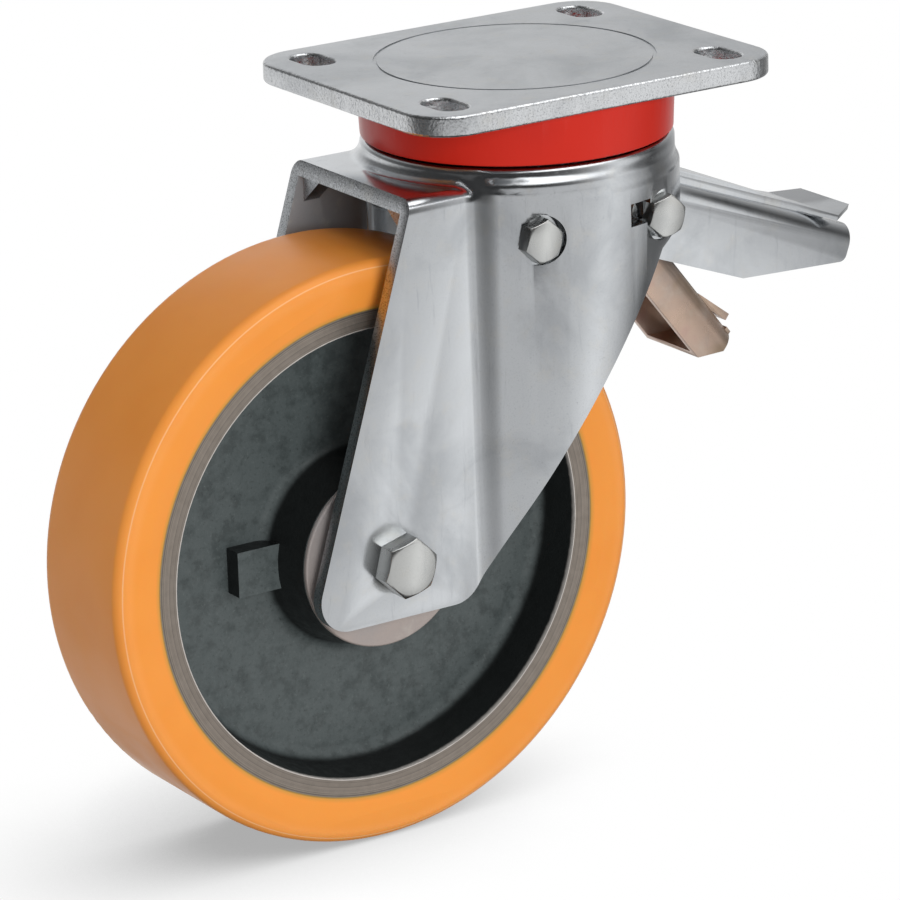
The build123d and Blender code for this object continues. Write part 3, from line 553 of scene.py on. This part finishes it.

# %% [markdown]
# The top plate has the same plating over a coarser skin. Bolts and nuts are evenly dull. The parts deep in the
# brake, which hardly show, get a darker and duller coat: painted shade for where they sit.

# %% Plate, bolts and brake steel
zinc("zinc_forged", 0.6, 0.045, colour=(194, 197, 200), rough=(0.28, 0.46), crystal_depth=0.05)
zinc("zinc_bolt", 0.4, 0.010, colour=(205, 206, 204), rough=(0.20, 0.36))
zinc("shaded_steel", 0.6, 0.012, colour=(150, 150, 148), rough=(0.35, 0.5))

# %% [markdown]
# ### Ground steel
#
# Balls, races and sleeves of such a castor usually aren't plated but ground, which leaves very fine lines round
# the part, so one noise is squeezed to lines and barely raised.

# %% Ground steel
ground = Finish("ground_steel", srgb(176, 176, 178), 1.0, 0.22)
ground.roughen(ground.noise(6, detail=3), 0.16, 0.30)
ground.bump(ground.noise(0.3, detail=2, where=ground.mapped(stretch=(1, 12, 1))), 0.004)
ground.tell()

# %% [markdown]
# ### Warm zinc
#
# The release lever has another coat than the rest, a warm grey-pink with brownish stains. It is set a little less
# than metallic, so that it keeps its colour where it mirrors something dark.

# %% Lever finish
lever = zinc("warm_zinc", 0.5, 0.014, colour=(198, 172, 154), rough=(0.22, 0.38))
lever.tint(srgb(160, 138, 112), lever.span(lever.noise(16, detail=3), 0.42, 0.7, 0, 0.7))
lever.tint(srgb(186, 150, 142), lever.span(lever.noise(11, detail=2), 0.52, 0.8, 0, 0.6))
lever.set("Metallic", 0.75)
lever.tell()

# %% [markdown]
# ### Red plastic
#
# The dust ring is moulded plastic: one colour all through, glossy, with a slight unevenness from the mould that
# bends its reflections. A glossy coat over it would look like paint, so it stays a single layer.

# %% Ring finish
ring = Finish("red_plastic", srgb(206, 40, 24), 0.0, 0.28)
ring.tint(srgb(190, 36, 26), ring.span(ring.noise(30, detail=2), 0.4, 0.7, 0, 0.4))
ring.bump(ring.noise(16, detail=1), 0.06)
ring.set("Specular IOR Level", 0.3)
ring.tell()

# %% [markdown]
# ### Soft tread
#
# The tread is cast polyurethane, poured round the iron rim. It is a little translucent, so light spreads under
# its skin and its shoulders glow: subsurface scattering does that, with red light going furthest, helped by a faint
# pale painted highlight laid over the shoulder. A fine pale line runs round the shoulder, a painted highlight
# where the mould's parting line would catch the light, and a dark, greenish edge runs along the rim, most likely
# the glue. All three follow the distance from the axle.

# %% Tread finish
tread = Finish("soft_tread", srgb(246, 156, 66), 0.0, 0.34)
radius = tread.from_axis(axle / mm)
# painted highlights: a faint pale sheen over the shoulder, and a thin pale line round it
shoulder_highlight = tread.ring(radius, tyre_r - 5.5, tyre_r - 0.8, 1.6)
mould_line_highlight = tread.ring(radius, tyre_r - 2.3, tyre_r - 2.0, 0.12)
tread.tint(srgb(236, 142, 50), tread.span(tread.noise(40, detail=3), 0.4, 0.7, 0, 0.35))
tread.tint(srgb(255, 186, 128), tread.combine(shoulder_highlight, 0.12))
tread.tint(srgb(255, 214, 170), tread.combine(mould_line_highlight, 0.5))
tread.tint(srgb(196, 148, 70), tread.span(radius, rim_r, rim_r + 2.2, 0.7, 0))
tread.tint(srgb(120, 116, 66), tread.span(radius, rim_r, rim_r + 0.7, 0.8, 0))
tread.roughen(tread.noise(22, detail=3), 0.30, 0.42)
tread.bump(tread.noise(1.6, detail=2), 0.006)
tread.set("Specular IOR Level", 0.32)
tread.set("Subsurface Weight", 0.2)
tread.set("Subsurface Radius", (0.006, 0.003, 0.001))
tread.tell()

# %% [markdown]
# ### Painted iron
#
# The wheel centre is a casting in dark green-grey paint, with an orange-peel skin such as sand leaves. Walls along
# the axle are painted nearly black here. That is shade put into the colour, since the dish of this scene
# lets in more light than a real one seems to, and under other lamps it stays dark.

# %% Iron skin
iron = Finish("painted_iron", srgb(78, 85, 85), 0.0, 0.42)
sand = iron.noise(1.1, detail=3, softness=0.6)
skin = iron.noise(4.5, detail=4, softness=0.6)
facing_out = iron.sideways()
iron.tint(srgb(46, 52, 52), iron.span(skin, 0.42, 0.7, 0, 0.55))
iron.tint(srgb(104, 112, 110), iron.span(sand, 0.56, 0.78, 0, 0.5))
iron.tint(srgb(34, 38, 38), iron.span(sand, 0.44, 0.24, 0, 0.55))
iron.tint(srgb(3, 3, 3), iron.span(facing_out, 0.35, 0.85, 0.92, 0))
iron.roughen(iron.noise(3, detail=4), 0.36, 0.55)
iron.bump(skin, 0.18)
iron.bump(sand, 0.07)
iron.tell()

# %% [markdown]
# The rim's side was most likely turned on a lathe to seat the tyre. Bare grey metal shows there, with fine rings:
# a noise that runs only with the distance from the axle. The inner edge of the band carries a painted highlight, a
# pale thin ring where that edge would catch the light.

# %% The iron's turned band
radius = iron.from_axis(axle / mm)
turned = iron.combine(iron.ring(radius, band_r, rim_r + 1), iron.span(facing_out, 0.75, 0.95))
outward = iron.node("ShaderNodeCombineXYZ", {"X": radius}).outputs[0]
tool_rings = iron.span(iron.noise(0.5, detail=3, where=outward), 0.4, 0.7, 0, 0.8)
# painted highlight: a pale thin ring along the band's inner edge
lip_highlight = iron.ring(radius, band_r - 0.15, band_r + 0.35, 0.1)
iron.tint(srgb(150, 140, 130), turned)
iron.tint(srgb(84, 80, 76), iron.combine(turned, tool_rings))
iron.tint(srgb(214, 208, 202), iron.combine(lip_highlight, 0.85))
iron.link(iron.combine(turned, 0.7), "Metallic")
iron.tell()

# %% [markdown]
# ### Sheared and forged edges
#
# A press shears thick sheet: the blade cuts the first third clean and tears the rest, which leaves a coarse,
# sparkling edge. The plating follows every grain, so these edges look darker and rougher than the faces. The
# top plate's rim is coarse too, but brighter.

# %% Edge finishes
sheared = zinc("sheared_edge", 0.4, 0.07, colour=(190, 193, 196), rough=(0.22, 0.40), crystal_depth=0.05)
sheared.tint(srgb(60, 62, 66), sheared.span(sheared.noise(0.45, detail=3), 0.48, 0.64, 0, 0.65))
forged = zinc("forged_rim", 0.6, 0.10, colour=(214, 216, 218), rough=(0.16, 0.34), crystal_depth=0.10)
forged.tint(srgb(130, 132, 136), forged.span(forged.noise(0.6, detail=3), 0.50, 0.70, 0, 0.4))
sheared.tell()
forged.tell()

# %% [markdown]
# ### Dull coats and painted shade
#
# The hub's cover discs are warm and dull; what dulls them isn't known. The inner face of the fork's leg would
# mirror the tent's bands far too brightly, so it gets painted shade: a darker, nearly dull copy of the zinc, which
# is a choice of this scene and not another material.

# %% Hub shield, and painted shade inside the leg
zinc("hub_shield", 0.5, 0.010, colour=(172, 160, 154), rough=(0.34, 0.50)).set("Metallic", 0.3)
zinc("painted_shade_inside", 0.6, 0.02, colour=(150, 154, 158), rough=(0.45, 0.6)).set("Metallic", 0.2)
print(len(finishes), "finishes:", ", ".join(finishes))

# %% [markdown] ## Finished copies of the plain solids  A pressed or turned steel part needs no other shape than
# its solid has, but its shading does. The solid's mesh is loose triangles, so a copy is welded, its flat faces are
# made whole again, its sharp edges are broken by a few tenths of a millimetre, and the faces that bend into each
# other are shaded as one. No real edge is sharper than that, and the thin line of light along a broken edge is
# much of what makes metal look like metal. First come the small tools. Smoothing goes by the angle between two
# faces, so a fold stays a fold.

# %% Smoothing and baking
def smooth_by_angle(obj, degrees):
    for face in obj.data.polygons:
        face.use_smooth = True
    bm = bmesh.new()
    bm.from_mesh(obj.data)
    for edge in bm.edges:
        edge.smooth = edge.calc_face_angle(0) < radians(degrees)
    bm.to_mesh(obj.data)
    bm.free()


def baked(obj):
    """Applies an object's modifiers and leaves one plain mesh."""
    depsgraph = bpy.context.evaluated_depsgraph_get()
    mesh = bpy.data.meshes.new_from_object(obj.evaluated_get(depsgraph), depsgraph=depsgraph)
    obj.modifiers.clear()
    old = obj.data
    obj.data = mesh
    mesh.name = obj.name
    if old.users == 0:
        bpy.data.meshes.remove(old)
    return obj


print("mesh tools:", smooth_by_angle.__name__, baked.__name__)


# %% [markdown] Each finished piece rides on the moving body of the solid that it stands for, and the solids
# that it replaces are hidden.

# %% Place on a body
body_of_node = {n: body for body, group in frame["record"]["behaviour"]["bodies"].items() for n in group}


def place_piece(obj, finish, like, *replaced):
    """Makes an object a piece of the body that a solid rides on, with a finish if one is given."""
    if finish:
        obj.data.materials.clear()
        obj.data.materials.append(finishes[finish])
    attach(obj, body_of_node[like])
    if replaced:
        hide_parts(*replaced)
    print(obj.name, "has", len(obj.data.polygons), "faces and rides on", body_of_node[like])
    return obj


print("bodies:", ", ".join(sorted(set(body_of_node.values()))))

# %% [markdown]
# The copy itself. Points closer than two thousandths of a millimetre are one point, and faces that differ by less
# than a degree are one face. The bevel takes only edges sharper than 40 degrees, and its two segments are enough
# for an edge that is about a pixel wide.

# %% Copy, weld, break the edges
weld_distance = 0.002 * mm
flat_angle, smooth_angle, bevel_angle = radians(0.6), 32, radians(40)


def finished_copy(node, finish, edge_mm):
    """A welded copy of a solid with broken edges and smooth bends, in place of the solid."""
    bm = bmesh.new()
    bm.from_mesh(nodes[node].data)
    bmesh.ops.remove_doubles(bm, verts=bm.verts, dist=weld_distance)
    bmesh.ops.dissolve_limit(bm, angle_limit=flat_angle, verts=bm.verts, edges=bm.edges)
    mesh = bpy.data.meshes.new(node + "_finished")
    bm.to_mesh(mesh)
    bm.free()
    obj = bpy.data.objects.new(node + "_finished", mesh)
    scene.collection.objects.link(obj)
    if edge_mm:
        bevel = obj.modifiers.new("edges", "BEVEL")
        bevel.width = edge_mm * mm
        bevel.segments = 2
        bevel.limit_method = "ANGLE"
        bevel.angle_limit = bevel_angle
        bevel.use_clamp_overlap = True
        baked(obj)
    smooth_by_angle(obj, smooth_angle)
    return place_piece(obj, finish, node, node)


print("edges sharper than", round(bevel_angle / radians(1)), "degrees are broken")

# %% [markdown]
# One list then says which solid gets which finish, and how far its edges are broken: most on the sheet parts, less
# on bolts and nuts. A solid with 0 gets no bevel, as on the plate, the casting and the tread, whose solids have
# their rounded edges already.

# %% Pieces that need no more than that
for node, finish, edge in (
    ("top_plate", "zinc_forged", 0), ("dust_ring", "red_plastic", 0.2), ("fork", "zinc_fork", 0.35),
    ("brake_pedal", "zinc_sheet", 0.3), ("release_lever", "warm_zinc", 0.3), ("brake_arm", "zinc_sheet", 0.3),
    ("brake_shoe", "shaded_steel", 0.15), ("shoe_rivets", "zinc_bolt", 0.2), ("axle_bolt", "zinc_bolt", 0.2),
    ("axle_nut", "zinc_bolt", 0.2), ("axle_washer", "zinc_bolt", 0.15), ("front_pivot_bolt", "zinc_bolt", 0.15),
    ("rear_pivot_bolt", "zinc_bolt", 0.15), ("front_pivot_nut", "zinc_bolt", 0.15),
    ("rear_pivot_nut", "zinc_bolt", 0.15), ("hub_shield_near", "hub_shield", 0),
    ("hub_shield_far", "hub_shield", 0), ("wheel_centre", "painted_iron", 0), ("tyre", "soft_tread", 0),
    ("kingpin_nut", "zinc_bolt", 0.2), ("kingpin_washer", "zinc_bolt", 0.15),
    ("front_pivot_spacers", "zinc_bolt", 0.15), ("rear_pivot_spacers", "zinc_bolt", 0.15),
    ("return_spring", "shaded_steel", 0),
):
    finished_copy(node, finish, edge)

# %% [markdown]
# ## Faces with a finish of their own
#
# One piece of sheet shows three skins: its rolled faces, the edges that the blade cut, and the inside that no
# light reaches. They could be three pieces, but one piece with three material slots has no seams. Each test below
# looks at where a face points and where its middle is, in millimetres from the plate's top.

# %% Pick faces by place
fold_z = -36.0                 # the shelf's front edge is above this, the legs' edges are below
legs_front_x = -45.0           # the legs' front edges are ahead of this
skirt_back_x = 43.0            # the skirt's edge at the back opening is behind this
skirt_inside_y = 25.0          # the lower edges of skirt and legs are outside this
far_leg_y = (20.0, 40.0)       # the far leg stands between these


def mark_faces(obj, finish, chosen):
    """Gives another finish to the faces that a test of normal and middle picks."""
    obj.data.materials.append(finishes[finish])
    slot = len(obj.data.materials) - 1
    picked = [face for face in obj.data.polygons if chosen(face.normal, face.center / mm)]
    for face in picked:
        face.material_index = slot
    print(obj.name, len(picked), "faces", finish)


def cut_by_the_blade(normal, place):
    if abs(normal.y) > 0.02:
        return False
    front = normal.x < -0.3 and place.x < legs_front_x and place.z < fold_z
    rear = normal.x > 0.95 and place.x > skirt_back_x
    lower = normal.z < -0.2 and abs(place.y) > skirt_inside_y
    return front or rear or lower


def shelf_front(normal, place):
    return normal.x < -0.9 and place.x < -60 and place.z > fold_z


def inner_face(normal, place):
    return normal.y < -0.9 and far_leg_y[0] < place.y < far_leg_y[1] and place.x < 0


fork = bpy.data.objects["fork_finished"]
mark_faces(fork, "painted_shade_inside", inner_face)
mark_faces(fork, "sheared_edge", cut_by_the_blade)
mark_faces(fork, "zinc_forged", shelf_front)

# %% [markdown]
# The plate's rim and the walls of its four slots are the faces that don't lie flat. The pressed circle on top has
# such faces too, so only those outside it count.

# %% Rim of the plate
plate_bottom_z = -8.0
pressed_circle_r = 50.0


def rim_or_slot(normal, place):
    return abs(normal.z) < 0.93 and place.z > plate_bottom_z and place.xy.length > pressed_circle_r


mark_faces(bpy.data.objects["top_plate_finished"], "forged_rim", rim_or_slot)


# %% [markdown]
# ## Screw threads and rows of balls
#
# A thread is one ridge that climbs round a bolt, and a bearing is one ball repeated round a circle. Both are rules,
# so a small node tree makes them from a few sizes: change the pitch or the count, and the piece follows. Every
# tree starts with its named sizes, and ends by moving the shape to its place and giving it a finish.

# %% Start and end of a tree
placing = {"Start": "Vector", "Turn": "Rotation", "Material": "Material"}


def start_tree(name, sizes):
    tree = bpy.data.node_groups.new(name, "GeometryNodeTree")
    for label, kind in {**sizes, **placing}.items():
        tree.interface.new_socket(label, in_out="INPUT", socket_type="NodeSocket" + kind)
    tree.interface.new_socket("Geometry", in_out="OUTPUT", socket_type="NodeSocketGeometry")
    return tree, tree.nodes.new("NodeGroupInput").outputs


def finish_tree(tree, given, shape):
    shape = step(tree, "GeometryNodeRealizeInstances", {"Geometry": shape})
    shape = step(tree, "GeometryNodeTransform",
                 {"Geometry": shape, "Translation": given["Start"], "Rotation": given["Turn"]})
    shape = step(tree, "GeometryNodeSetMaterial", {"Geometry": shape, "Material": given["Material"]})
    add_node(tree, "NodeGroupOutput", {0: shape})
    print(tree.name, "has", len(tree.nodes), "nodes")


# %% [markdown]
# The thread: a spiral as long as the thread, with as many turns as pitches fit into it, and a small six-sided
# ring swept along. Only the outer half of that ring stands out of the bolt, which leaves the rounded ridge of a
# rolled thread. Its ends are capped, so the mesh is closed.

# %% Tree of a screw thread
thread_tree, given = start_tree(
    "screw thread", {"Radius": "Float", "Pitch": "Float", "Length": "Float", "Ridge": "Float"})
turns = step(thread_tree, "ShaderNodeMath", {0: given["Length"], 1: given["Pitch"]}, operation="DIVIDE")
climb = step(thread_tree, "GeometryNodeCurveSpiral", {
    "Resolution": 48, "Rotations": turns, "Start Radius": given["Radius"], "End Radius": given["Radius"],
    "Height": given["Length"]})
ridge = step(thread_tree, "GeometryNodeCurvePrimitiveCircle", {"Resolution": 6, "Radius": given["Ridge"]})
swept = step(thread_tree, "GeometryNodeCurveToMesh", {"Curve": climb, "Profile Curve": ridge, "Fill Caps": True})
finish_tree(thread_tree, given, swept)

# %% [markdown]
# The ball row: a circle with as many points as there are balls, and a ball set on each. The balls are copies in
# name only until they are realized, which turns them into one mesh.

# %% Tree of a row of balls
ball_tree, given = start_tree("ball row", {"Count": "Int", "Pitch Radius": "Float", "Ball Radius": "Float"})
circle = step(ball_tree, "GeometryNodeMeshCircle", {"Vertices": given["Count"], "Radius": given["Pitch Radius"]})
ball = step(ball_tree, "GeometryNodeMeshUVSphere", {"Segments": 24, "Rings": 14, "Radius": given["Ball Radius"]})
row = step(ball_tree, "GeometryNodeInstanceOnPoints", {"Points": circle, "Instance": ball})
finish_tree(ball_tree, given, row)


# %% [markdown]
# A tree runs as a modifier of an empty mesh. Its inputs are set by identifier, a short code that stays the same
# if an input is renamed, and all of them before the first run. The result is kept and the modifier goes.

# %% Grow a piece
def grow(name, tree, values, like, *replaced):
    obj = bpy.data.objects.new(name, bpy.data.meshes.new(name))
    scene.collection.objects.link(obj)
    modifier = obj.modifiers.new("grow", "NODES")
    modifier.node_group = tree
    for socket in tree.interface.items_tree:
        if socket.in_out == "INPUT":
            modifier[socket.identifier] = values[socket.name]
    baked(obj)
    for face in obj.data.polygons:
        face.use_smooth = True
    return place_piece(obj, None, like, *replaced)


upright = (0.0, 0.0, 0.0)
to_the_far_side = (radians(-90), 0.0, 0.0)
downwards = (radians(180), 0.0, 0.0)
print("pieces can grow upright, downwards and to the far side")

# %% [markdown]
# Threads stand only where a bolt leaves its nut, because a nut hides the rest. The axle has a coarser thread than
# the two brake pivots, as it is thicker. The swivel pin's thread points down, out of the nut under the crown.

# %% Threads in place
ridge_mm = 0.22
for screw, radius_mm, pitch_mm in (("axle", 6, 1.75), ("front_pivot", 4, 1.25), ("rear_pivot", 4, 1.25)):
    bolt, nut = screw + "_bolt", screw + "_nut"
    start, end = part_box(nut)[1][1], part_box(bolt)[1][1]
    grow(screw + "_thread", thread_tree, {
        "Radius": radius_mm * mm, "Pitch": pitch_mm * mm, "Length": end - start - pitch_mm / 2 * mm,
        "Ridge": ridge_mm * mm, "Start": (middle(bolt).x, start, middle(bolt).z), "Turn": to_the_far_side,
        "Material": finishes["zinc_bolt"]}, bolt)

pin_radius_mm, pin_pitch_mm = 8, 1.5
grow("king_pin_thread", thread_tree, {
    "Radius": pin_radius_mm * mm, "Pitch": pin_pitch_mm * mm,
    "Length": bottom("kingpin_nut") - bottom("top_plate") - pin_pitch_mm * mm,
    "Ridge": ridge_mm * mm, "Start": (0.0, 0.0, bottom("kingpin_nut")), "Turn": downwards,
    "Material": finishes["zinc_bolt"]}, "top_plate")

# %% [markdown]
# The swivel head runs on two rows of balls, twenty between plate and fork and twelve under the crown, and each
# hub bearing on eight. A row's box gives its sizes: its thinnest side is one ball, and its widest is the circle
# and one ball more.

# %% Balls in place
for balls, count, turn in (("upper_balls", 20, upright), ("neck_balls", 12, upright),
                           ("bearing_balls_near", 8, to_the_far_side), ("bearing_balls_far", 8, to_the_far_side)):
    spread = size(balls)
    ball_d = min(spread)
    grow(balls + "_row", ball_tree, {
        "Count": count, "Pitch Radius": (max(spread) - ball_d) / 2, "Ball Radius": ball_d / 2,
        "Start": tuple(middle(balls)), "Turn": turn, "Material": finishes["ground_steel"]}, balls, balls)

# %% [markdown]
# ## Inner steel parts
#
# The races, sleeves and spacers sit inside the head and the hub, where only a slit shows them. They keep their
# solids as they are, and all of them are ground, so they share one finish.

# %% Finish of the inner parts
kept = [name for name, obj in nodes.items() if not obj.hide_render]
for name in kept:
    nodes[name].data.materials.clear()
    nodes[name].data.materials.append(finishes["ground_steel"])
print(len(kept), "inner parts:", ", ".join(kept))

# %% Bring the scene up to date
bpy.context.view_layer.update()
